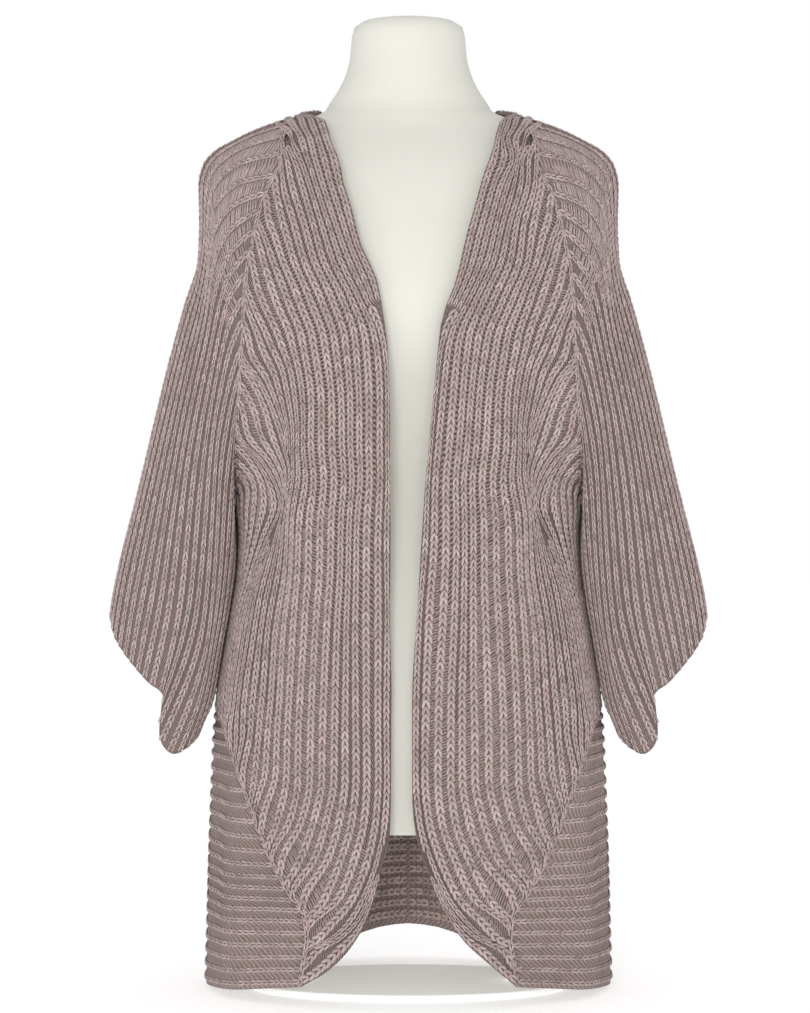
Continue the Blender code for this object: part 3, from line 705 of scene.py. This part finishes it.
def leaningRibs(edge):
    # the inner ribs, moved as far as this edge lies from the right one
    right, own = (np.array(rows, float)[::-1].T for rows in (fronts["edgeRight"], edge))
    made = {0: edge}
    for rib, rows in fronts["innerRibs"].items():
        turns, heights = np.array(rows, float).T
        moved = np.interp(heights, own[1], own[0]) - np.interp(heights, right[1], right[0])
        moved *= np.interp(rib, *fronts["lean"]) * (turns < fronts["leanTo"])
        made[rib] = tuple(zip(turns + moved, heights))
    return made


def frontPlaces(edge, rowCount, ribs):
    neck = np.flatnonzero(ribs >= seams["neckRibs"])[0]
    drawn = leaningRibs(edge)
    starts = np.concatenate(
        [shoulderPlaces(ribs[:neck]), placesByRib(seams["raglan"], ribs[neck:] - seams["neckRibs"])]
    )
    ends = placesByRib(seams["mitre"], ribs)
    rows = np.linspace(0, 1, rowCount + 1)
    columns = []
    for rib, start, end in zip(ribs, starts, ends):
        ease = fronts["edgeEase"] * (1 - rib / seams["frontRibs"])
        shares = rows - ease * np.sin(2 * math.pi * rows) / (2 * math.pi)
        columns.append(evenPlaces(frontLine(rib, drawn, start, end), shares))
    return np.array(columns).swapaxes(0, 1)


def columnRibs(knitted, counted):
    # for every column, the rib that it is counted as at the seams
    columns = np.arange(knitted[-1] * knit["columnsPerRib"] + 1)
    return np.interp(columns / knit["columnsPerRib"], knitted, counted)


def frontPanel(name, side, edge):
    fine = columnRibs(*fronts["ribs"])
    places = frontPlaces(edge, fronts["rows"], fine)
    points, normals = bodySurface(places[..., 0], places[..., 1])
    first = np.flatnonzero(fine >= seams["neckRibs"])[0]
    ribs = fine[first:] - seams["neckRibs"]
    normals[0, first:] = underarmNormals(normals[0, first:], ribs)
    stepBack(points, normals, 0, 1)
    stepBack(points, normals, -1, -2)
    stepBack(points.swapaxes(0, 1), normals.swapaxes(0, 1), -1, -2)
    panel = knitGround(
        "knit_" + name, mirrored(points, side), mirrored(normals, side), groundWool, flip=side > 0
    )
    lines = ribLines(points, normals)
    parts = edgeChains(points, normals, lines[: fronts["edgeRibs"]])
    for row, columns in ((0, slice(first, None)), (-1, slice(None))):
        parts += seamChain(points[row, columns], normals[row, columns])
    for line in lines[fronts["edgeRibs"] :]:
        parts += stitchChain(*line)
    for line, after in zip(lines[fronts["edgeRibs"] :], lines[fronts["edgeRibs"] + 1 :]):
        parts += strandRow(line, after, "body")
    stitches = joinParts("stitches_" + name, flipped(parts, side), yarn)
    finishPanel(panel, [stitches], name)


def seamChain(line, normals):
    # small uneven stitches where two panels are knitted together
    across = unit(np.cross(normals, np.gradient(line, axis=0))) * fronts["seamWidth"]
    return stitchChain(line, across, normals, lean=fronts["seamLean"])


def edgeChains(points, normals, lines):
    # the ribs beside the open edge: one chain where they are rolled up, else one each
    low, high = fronts["rolled"]
    heights = lines[1][0][:, 2]
    rolled = np.flatnonzero((heights > low) & (heights < high))
    first, last = rolled[0], rolled[-1] + 1
    columns = fronts["edgeRibs"] * knit["columnsPerRib"]
    line = lineBetween(points, normals, 0, int(fronts["rollMiddle"] * columns), columns)
    parts = stitchChain(*(values[first:last] for values in line))
    for line in lines:
        for part in (slice(0, first + 1), slice(last - 1, None)):
            parts += stitchChain(*(values[part] for values in line))
    return parts


def finishPanel(panel, more, node):
    for piece in (panel, *more):
        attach(piece, "root")
    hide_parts(node)
    triangles = sum(len(p.data.polygons) for p in (panel, *more))
    print(node, "knitted:", triangles, "faces")


form = {
    "sections": (  # height, half width, depth in front, depth behind, mm
        (156, 160, 103, 120), (220, 160, 105, 125), (280, 154, 107, 125), (350, 141, 104, 108),
        (420, 128, 95, 90), (480, 124, 90, 82), (540, 130, 96, 84), (600, 142, 110, 92),
        (645, 154, 116, 100), (690, 162, 110, 106), (735, 175, 96, 104), (765, 180, 84, 98),
        (780, 176, 76, 91), (796, 158, 65, 80), (811, 124, 56, 68), (822, 96, 52, 61),
        (829, 80, 50, 58), (837, 75, 49, 56), (848, 67.5, 49, 54), (862, 60.5, 49, 52),
        (880, 55.5, 49, 51), (898, 54, 49, 50), (908, 52, 47, 48), (913, 46, 41, 42),
        (915, 36, 32, 33),
    ),
    "sides": 72,
    "rows": 100,
    "sharpFrom": 50,  # degrees
}


def makeForm(material):
    table = np.array(form["sections"], float) * mm
    knots = lengthsAlong(table[:, :2])
    rows = curveAt(knots, table, np.linspace(0, knots[-1], form["rows"]))
    ringSolid("form_shell", rows, form["sides"], material, "dress_form")


def ringSolid(name, rows, sides, material, node, centreX=0):
    # a closed solid through oval rings from the bottom up, their rows as in the form's sections
    turns = np.arange(sides) * 2 * math.pi / sides
    height, width, front, back = (column[:, None] for column in np.transpose(rows))
    depth = np.where(np.cos(turns) > 0, front, back)
    height = np.broadcast_to(height, depth.shape)
    rings = np.stack([centreX + width * np.sin(turns), -depth * np.cos(turns), height], axis=-1)
    work = bmesh.new()
    rows = [[work.verts.new(point) for point in ring] for ring in rings]
    for low, high in zip(rows, rows[1:]):
        for k in range(len(low)):
            after = (k + 1) % len(low)
            work.faces.new((low[k], low[after], high[after], high[k]))
    work.faces.new(rows[0][::-1])
    work.faces.new(rows[-1])
    bmesh.ops.recalc_face_normals(work, faces=work.faces)
    mesh = meshOf(name, work)
    mesh.shade_smooth()
    mesh.set_sharp_from_angle(angle=math.radians(form["sharpFrom"]))
    mesh.materials.append(material)
    made = newPiece(name, mesh)
    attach(made, "root")
    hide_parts(node)


def meshOf(name, work):
    mesh = bpy.data.meshes.new(name)
    work.to_mesh(mesh)
    work.free()
    return mesh


cream = {
    "noises": ((9.0, 3.0), (260.0, 3.0)),
    "rough": (0.15, 0.5),
    "bump": (0.25, 0.0002),
    "sockets": {"Specular IOR Level": 0.35},
}


def creamMaterial(name, tones, paintedGlow):
    made, nodes, links, shader = newMaterial(name, {**cream["sockets"], **paintedGlow})
    broad, fine = noises(nodes, links, cream["noises"])
    links.new(ramp(nodes, links, broad, tones), shader.inputs["Base Color"])
    rough = calculate(nodes, links, "MULTIPLY_ADD", broad, *cream["rough"])
    links.new(rough, shader.inputs["Roughness"])
    bumpBy(nodes, links, shader, fine, cream["bump"])
    return made


formCreamPaintedGlow = creamMaterial(
    "formCreamPaintedGlow",
    ((0.3, (0.60, 0.605, 0.565)), (0.7, (0.64, 0.645, 0.605))),
    # painted glow: a warm glow that keeps the form light where the cape shades it
    {"Emission Color": (1.0, 0.93, 0.78, 1), "Emission Strength": 0.14},
)
standCreamPaintedGlow = creamMaterial(
    "standCreamPaintedGlow",
    ((0.3, (0.84, 0.845, 0.82)), (0.7, (0.88, 0.885, 0.86))),
    # painted glow: keeps the stand pale where the cape shades it
    {"Emission Color": (1.0, 1.0, 0.98, 1), "Emission Strength": 0.3},
)

stand = {
    "postX": 100 * mm,
    "postHalf": (8 * mm, 8 * mm),
    "baseHalf": (150 * mm, 80 * mm),
    "baseThick": 6 * mm,
    "baseRound": 1.5 * mm,
    "baseSides": 96,
    "postSides": 32,
    "gap": 0.3 * mm,
    "postRound": 0.5 * mm,
    "arc": (0, 30, 60, 90),  # degrees, along a rounded rim
}


def roundedRows(low, high, edge, halfWidth, halfDepth):
    arc = np.radians(stand["arc"])
    out, up = edge * np.sin(arc) - edge, edge - edge * np.cos(arc)
    out, heights = np.append(out, out[::-1]), np.append(low + up, high - up[::-1])
    return np.stack([heights, halfWidth + out, halfDepth + out, halfDepth + out], axis=1)


def makeStand(material):
    thick, gap = stand["baseThick"], stand["gap"]
    rows = roundedRows(0, thick, stand["baseRound"], *stand["baseHalf"])
    ringSolid("oval_base", rows, stand["baseSides"], material, "base")
    formLow = form["sections"][0][0] * mm
    rows = roundedRows(thick + gap, formLow - gap, stand["postRound"], *stand["postHalf"])
    for name, x in (("left", stand["postX"]), ("right", -stand["postX"])):
        ringSolid("round_post_" + name, rows, stand["postSides"], material, "post_" + name, x)


makeForm(formCreamPaintedGlow)
makeStand(standCreamPaintedGlow)
print("form and stand made")
frontPanel("front_left", 1, fronts["edgeLeft"])
frontPanel("front_right", -1, fronts["edgeRight"])

back = {
    "hem": (  # turn, height, from the front corner to the centre back
        (31, 19), (60, 9), (90, 4), (120, 6), (145, 11), (160, 20), (170, 30), (176, 33),
        (180, 34),
    ),
    "flat": (0.72, 0.86),  # m
    "area": 0.45,
    "neck": 824 * mm,
    "strip": 34 * mm,
    "hemReach": 200 * mm,
    "risePower": 3,  # how early a rib rises from the centre back to its ends
    "wideRibs": 6,
    "sideRows": 16,
    "rows": 66,
    "evenRibs": ((0, 62, 67, 72), (0, 62, 68, 72)),
    "insideTo": 13,  # stitches on the inside of this many ribs, from the hem up
    "insideDepth": 3.74 * mm,
}


def betweenPlaces(line):
    return atLengths(np.arange(len(line)), line, np.arange(2 * len(line) - 1) / 2)


def backRaglanHalves():
    narrow = np.arange(2 * seams["armholeRibs"], 2 * back["wideRibs"], -1) / 2
    ribs = np.concatenate([narrow, np.arange(back["wideRibs"], -1, -1)])
    return betweenPlaces(ribs[:, None])[:, 0]


def backEnds():
    halves = np.arange(0, 2 * seams["frontRibs"] + 1) / 2
    lower = placesByRib(seams["mitre"], halves)
    lastRib = np.array([float(seams["frontRibs"])])
    sidePlaces = frontPlaces(fronts["edgeLeft"], back["sideRows"], lastRib)[::-1, -1]
    upper = placesByRib(seams["raglan"], backRaglanHalves())
    upper[:, 0] = math.pi - upper[:, 0]
    neck = shoulderPlaces(np.arange(2 * seams["neckRibs"], -1, -1) / 2)
    return np.concatenate([lower, betweenPlaces(sidePlaces)[1:], upper[1:], neck[1:]])


def backPlaces(ends, centre):
    across = np.linspace(-1, 1, back["rows"] + 1)[:, None]
    turns = math.pi + across * (math.pi - ends[:, 0])
    rise = 1 - (1 - across**2) ** back["risePower"]
    heights = centre + (ends[:, 1] - centre) * rise
    fromFront = np.degrees(math.pi - np.abs(math.pi - turns))
    hem = np.array(back["hem"], float)
    hemLine = curveAt(hem[:, 0], hem[:, 1:], fromFront.ravel()).reshape(turns.shape) * mm
    low = np.clip(1 - (heights - heights[:, :1]) / back["hemReach"], 0, 1) ** 2
    heights = heights + (hemLine - heights[:, :1]) * low
    return np.where(turns > math.pi, turns - 2 * math.pi, turns), heights


def backPanel():
    halfEnds = backEnds()
    last = len(halfEnds) - 1
    fine = 2 * columnRibs(*back["evenRibs"])
    ends = curveAt(np.arange(last + 1), halfEnds, fine)
    # up the centre back the ribs are even to the strip below the neck, and even in it
    halves = (0, last - 2 * seams["neckRibs"], last)
    heights = (back["hem"][-1][1] * mm, back["neck"] - back["strip"], back["neck"])
    points, normals = bodySurface(*backPlaces(ends, np.interp(fine, halves, heights)))
    firstHalf = 2 * (seams["frontRibs"] + back["sideRows"])
    raglanHalves = backRaglanHalves()
    raglan = np.flatnonzero((fine >= firstHalf) & (fine <= firstHalf + len(raglanHalves) - 1))
    ribs = np.interp(fine[raglan] - firstHalf, np.arange(len(raglanHalves)), raglanHalves)
    for row in (0, -1):
        normals[row, raglan] = underarmNormals(normals[row, raglan], ribs)
    stepBack(points, normals, 0, 1)
    stepBack(points, normals, -1, -2)
    panel = knitGround("knit_back", points, normals, groundBack)
    lines = ribLines(points, normals)
    middle = back["rows"] // 2
    halfRows = slice(0, middle + 1), slice(back["rows"], middle - 1, -1)  # each from its seam
    bands = ([], [], [])
    for rib, (centre, width, normal) in enumerate(lines):
        for part in halfRows:
            bands[len(bands) * rib // len(lines)].extend(
                stitchChain(centre[part], width[part], normal[part], widths="bandWidths")
            )
    inside, halfRib = [], knit["columnsPerRib"] // 2
    for rib in range(1, back["insideTo"]):
        c = rib * knit["columnsPerRib"]
        centre = points[:, c] - normals[:, c] * back["insideDepth"]
        width = points[:, c + halfRib] - points[:, c - halfRib]
        for part in halfRows:
            inside += stitchChain(centre[part], width[part], normals[part, c], inside=True)
    names = ("low", "mid", "high", "inside")
    pieces = [joinParts("stitches_back_" + n, b, yarn) for n, b in zip(names, (*bands, inside))]
    finishPanel(panel, pieces, "back")


backPanel()

sleeves = {
    "ribs": {  # from the underarm fold (0) to the outer fold (18): out, forward, height
        0: (
            (162, 0, 452), (165, 8, 440), (164, 14, 425), (163, 20, 404), (167, 24, 366),
            (174, 24, 329), (180.5, 22, 291), (186, 20, 268), (194, 19, 252), (199, 20, 238),
        ),
        2: (
            (160, 69, 518), (162, 64, 501), (163, 56, 470), (165, 53, 433), (169, 50, 386),
            (174, 48, 349), (181, 45, 311), (188, 41, 274), (198, 37, 246), (204, 36, 231),
        ),
        5: (
            (153, 90, 592), (159, 86, 574), (165, 81, 552), (175, 70, 498), (178, 64, 461),
            (181, 57, 415), (185, 52, 368), (190, 50, 331), (200, 50, 294), (213, 50, 261),
            (227, 48, 230),
        ),
        10: (
            (143, 87, 699), (155, 84, 688), (166, 78, 674), (176, 71, 645), (186, 64, 600),
            (197, 58, 554), (208, 54, 498), (216, 52, 442), (226, 49, 368), (243, 46, 291),
        ),
        14: (
            (118, 87, 768), (136, 80, 766), (154, 70, 763), (169, 58, 755), (181, 45, 741),
            (186, 40, 718), (188, 38, 685), (195, 37, 648), (210, 37, 592), (236, 37, 480),
            (260, 36, 368), (268, 34, 319),
        ),
        18: (
            (114, 0, 822), (139, 0, 813), (160, 0, 803), (179, 0, 793), (191, 0, 780),
            (196, 0, 760), (196, 0, 732), (198, 0, 689), (210, 0, 651), (226, 0, 594),
            (254, 0, 480), (282, 0, 366), (284, 0, 350),
        ),
    },
    "cuff": (  # rib, out, forward, behind, height
        (0, 199, 20, -20, 238), (1, 201, 28, -8, 234), (2, 204, 36, 6, 231), (3, 210, 42, 18, 227),
        (4, 218, 46, 28, 224), (5, 227, 49, 36, 230), (6, 232, 51, 42, 244), (7, 231, 51, 45, 262),
        (8, 229, 49, 46, 278), (10, 243, 46, 45, 291), (12, 256, 42, 41, 305),
        (14, 268, 34, 33, 319), (16, 278, 22, 21, 334), (18, 284, 0, 0, 350),
    ),
    "shares": (0.0, 0.05, 0.1, 0.15, 0.2, 0.26, 0.36, 0.5, 0.68, 0.86, 1.0),
    "flat": (0.36, 0.56),  # m
    "area": 0.19,
    "startPower": 6,
    "endPower": 4,
    "backDepth": ((0.1, 0.5), (1.08, 0.9)),  # share of the way down, depth beside the front's
    "rows": 52,
}


def sleeveGrid(perRib):
    shares = np.interp(
        np.linspace(0, 1, sleeves["rows"] + 1),
        np.linspace(0, 1, len(sleeves["shares"])),
        sleeves["shares"],
    )
    drawn = {rib: evenPath(rows, shares) for rib, rows in sleeves["ribs"].items()}
    outward = np.array([1, -1, 1]) * mm
    behind = np.ones((len(shares), 3)) * mm
    behind[:, 1] *= np.interp(shares, *sleeves["backDepth"])
    roundRibs = 2 * seams["armholeRibs"]
    knots = [*drawn, *(roundRibs - rib for rib in list(drawn)[-2::-1])]
    across = [rows * outward for rows in drawn.values()]
    across += [rows * behind for rows in list(drawn.values())[-2::-1]]
    across[-1] = across[0]
    knots = [knots[-2] - roundRibs, *knots, roundRibs + knots[1]]
    across = np.array([across[-2], *across, across[1]])
    ribs = np.arange(roundRibs * perRib) / perRib
    grid = np.stack([curveAt(knots, row, ribs, free=True) for row in across.swapaxes(0, 1)])
    down = shares[:, None, None]
    start, end = armholeLoop(ribs)[0], cuffLoop(ribs)
    fromArmhole = (1 - down) ** sleeves["startPower"] * (start - grid[0])
    return grid + fromArmhole + down ** sleeves["endPower"] * (end - grid[-1])


def armholeLoop(ribs):
    fromShoulder = np.abs(seams["armholeRibs"] - ribs)
    places = placesByRib(seams["raglan"], fromShoulder)
    turns = np.where(ribs <= seams["armholeRibs"], places[:, 0], math.pi - places[:, 0])
    points, normals = bodySurface(turns, places[:, 1])
    return points, underarmNormals(normals, fromShoulder)


def cuffLoop(ribs):
    table = np.array(sleeves["cuff"], float)
    otherHalf = ribs > seams["armholeRibs"]
    fromFold = np.where(otherHalf, 2 * seams["armholeRibs"] - ribs, ribs)
    out, forward, behind, height = curveAt(table[:, 0], table[:, 1:], fromFold).T * mm
    return np.stack([out, np.where(otherHalf, behind, -forward), height], axis=1)


def gridNormals(points):
    across = np.roll(points, -1, axis=1) - np.roll(points, 1, axis=1)
    normals = unit(np.cross(across, np.gradient(points, axis=0)))
    outward = points - points.mean(axis=1, keepdims=True)
    return normals * np.sign((normals * outward).sum())


def sleevePanel(name, side):
    points = sleeveGrid(knit["columnsPerRib"])
    normals = gridNormals(points)
    ribs = np.arange(points.shape[1]) / knit["columnsPerRib"]
    normals[0] = armholeLoop(ribs)[1]
    stepBack(points, normals, 0, 1)
    panel = knitGround(
        "knit_" + name, mirrored(points, side), mirrored(normals, side), groundSleeve,
        closed=True, flip=side < 0,
    )
    lines = ribLines(points, normals)
    parts = []
    for line in lines:
        parts += stitchChain(*line, widths="sleeveWidths")
    for line, after in zip(lines, lines[1:] + lines[:1]):
        parts += strandRow(line, after, "sleeve")
    stitches = joinParts("stitches_" + name, flipped(parts, side), yarn)
    finishPanel(panel, [stitches], name)


sleevePanel("sleeve_left", 1)
sleevePanel("sleeve_right", -1)

studio = {
    "world": 0.56,
    "backdrop": 1.0,
    "floorHalf": 14,
    "floorCells": 4,
    "floorTones": ((0.3, (0.9108, 0.9108, 0.9108)), (0.7, (0.92, 0.92, 0.92))),
    "floorNoise": (3.0, 2.0),  # scale, detail
    "floorSockets": {
        "Roughness": 0.9, "Emission Color": (1, 1, 1, 1), "Emission Strength": 0.5,
    },
    "lights": (  # name, place, size, power, colour
        ("key", (-0.45, -3.2, 0.6), 0.8, 31.0, (1.0, 0.985, 0.97)),
        ("fill", (0.4, -3.2, -0.2), 0.8, 42.0, (1.0, 0.985, 0.965)),
        ("top", (0.2, 0.3, 2.6), 1.4, 3.0, (1.0, 1.0, 1.0)),
    ),
    "lookAt": (0.0, 0.0, 0.45),
    "camera": (-0.0033, -2.4, 0.455),
    "lens": 89.8,
}


def makeRoom(scene):
    scene.view_settings.view_transform = "Standard"
    world = bpy.data.worlds.new("paleRoom")
    world.use_nodes = True
    nodes, links = world.node_tree.nodes, world.node_tree.links
    background = nodes["Background"]
    background.inputs[0].default_value = (1, 1, 1, 1)
    path = nodes.new("ShaderNodeLightPath")
    bright = addNode(
        nodes, "ShaderNodeMapRange", in_To_Min=studio["world"], in_To_Max=studio["backdrop"]
    )
    links.new(path.outputs["Is Camera Ray"], bright.inputs["Value"])
    links.new(bright.outputs[0], background.inputs[1])
    scene.world = world


def makeFloor():
    cells = studio["floorCells"]
    work = bmesh.new()
    bmesh.ops.create_grid(work, x_segments=cells, y_segments=cells, size=studio["floorHalf"])
    mesh = meshOf("floor", work)
    floor = newPiece("floor", mesh)
    made, nodes, links, shader = newMaterial("floorPaint", studio["floorSockets"])
    (noise,) = noises(nodes, links, (studio["floorNoise"],))
    links.new(ramp(nodes, links, noise, studio["floorTones"]), shader.inputs["Base Color"])
    mesh.materials.append(made)


def putDown(name, data, where, turn):
    made = newPiece(name, data)
    made.location, made.rotation_euler = where, turn
    return made


def makeStudio(scene):
    makeRoom(scene)
    makeFloor()
    for name, where, size, power, colour in studio["lights"]:
        lamp = bpy.data.lights.new(name, "AREA")
        lamp.shape, lamp.size, lamp.energy, lamp.color = "DISK", size, power, colour
        aim = Vector(studio["lookAt"]) - Vector(where)
        putDown(name, lamp, where, aim.to_track_quat("-Z", "Y").to_euler())
    camera = bpy.data.cameras.new("camera")
    camera.lens = studio["lens"]
    scene.camera = putDown("camera", camera, studio["camera"], (math.pi / 2, 0, 0))


makeStudio(bpy.context.scene)
print("studio set")
